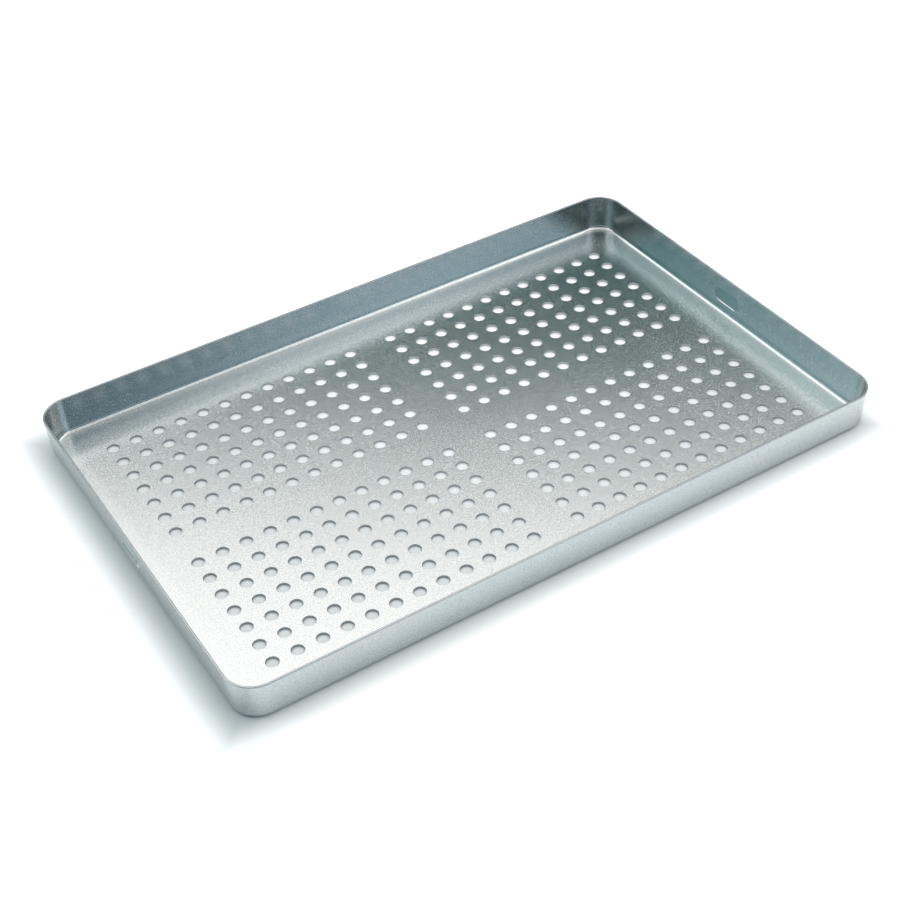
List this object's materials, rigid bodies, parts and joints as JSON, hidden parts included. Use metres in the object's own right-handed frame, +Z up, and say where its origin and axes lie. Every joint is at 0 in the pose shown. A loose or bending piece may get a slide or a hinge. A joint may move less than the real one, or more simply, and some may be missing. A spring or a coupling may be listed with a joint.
{
  "type": "perforated instrument tray",
  "caption": "Shallow rectangular sheet-metal instrument tray with rounded corners, low leaning walls and a floor pierced by fields of round drain holes.",
  "frame": {"origin": "centre of the flat underside, on the surface that the tray stands on", "axes": "+X along the tray's length, +Y across it, +Z up"},
  "size_m": [0.284, 0.184, 0.017],
  "materials": {
    "stainless_sheet": "satin"
  },
  "bodies": {
    "root": {"tray_pan": "stainless_sheet"}
  },
  "joints": []
}
